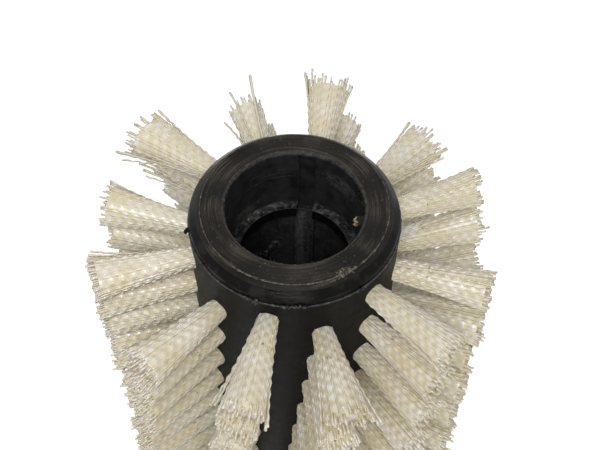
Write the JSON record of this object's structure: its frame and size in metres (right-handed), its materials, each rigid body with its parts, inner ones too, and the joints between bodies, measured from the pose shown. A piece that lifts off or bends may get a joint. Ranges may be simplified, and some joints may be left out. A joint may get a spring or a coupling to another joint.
{
  "type": "roller brush",
  "caption": "Cylindrical scrubbing brush: a thick keyed plastic tube with end collars, carrying slightly helical columns of flared white bristle tufts.",
  "frame": {"origin": "centre of the lower end face, on the axis of the tube", "axes": "+Z along the tube from the tail end to the drive end, which is the end in the picture; the key is 79.5 degrees round from +X"},
  "size_m": [0.1, 0.1, 0.1278],
  "materials": {
    "tube_plastic": "satin moulded",
    "collar_plastic": "turned, worn glossy",
    "ring_plastic": "satin moulded",
    "bristle_nylon": "crimped filaments",
    "anchor_wire": "flat wire"
  },
  "bodies": {
    "root": {"core_tube": "tube_plastic", "drive_collar": "collar_plastic", "tail_collar": "collar_plastic", "stop_rings": "ring_plastic", "tuft_column_01": "bristle_nylon", "tuft_column_02": "bristle_nylon", "tuft_column_03": "bristle_nylon", "tuft_column_04": "bristle_nylon", "tuft_column_05": "bristle_nylon", "tuft_column_06": "bristle_nylon", "tuft_column_07": "bristle_nylon", "tuft_column_08": "bristle_nylon", "tuft_column_09": "bristle_nylon", "tuft_column_10": "bristle_nylon", "tuft_column_11": "bristle_nylon", "tuft_column_12": "bristle_nylon", "anchor_column_01": "anchor_wire", "anchor_column_02": "anchor_wire", "anchor_column_03": "anchor_wire", "anchor_column_04": "anchor_wire", "anchor_column_05": "anchor_wire", "anchor_column_06": "anchor_wire", "anchor_column_07": "anchor_wire", "anchor_column_08": "anchor_wire", "anchor_column_09": "anchor_wire", "anchor_column_10": "anchor_wire", "anchor_column_11": "anchor_wire", "anchor_column_12": "anchor_wire"}
  },
  "joints": []
}
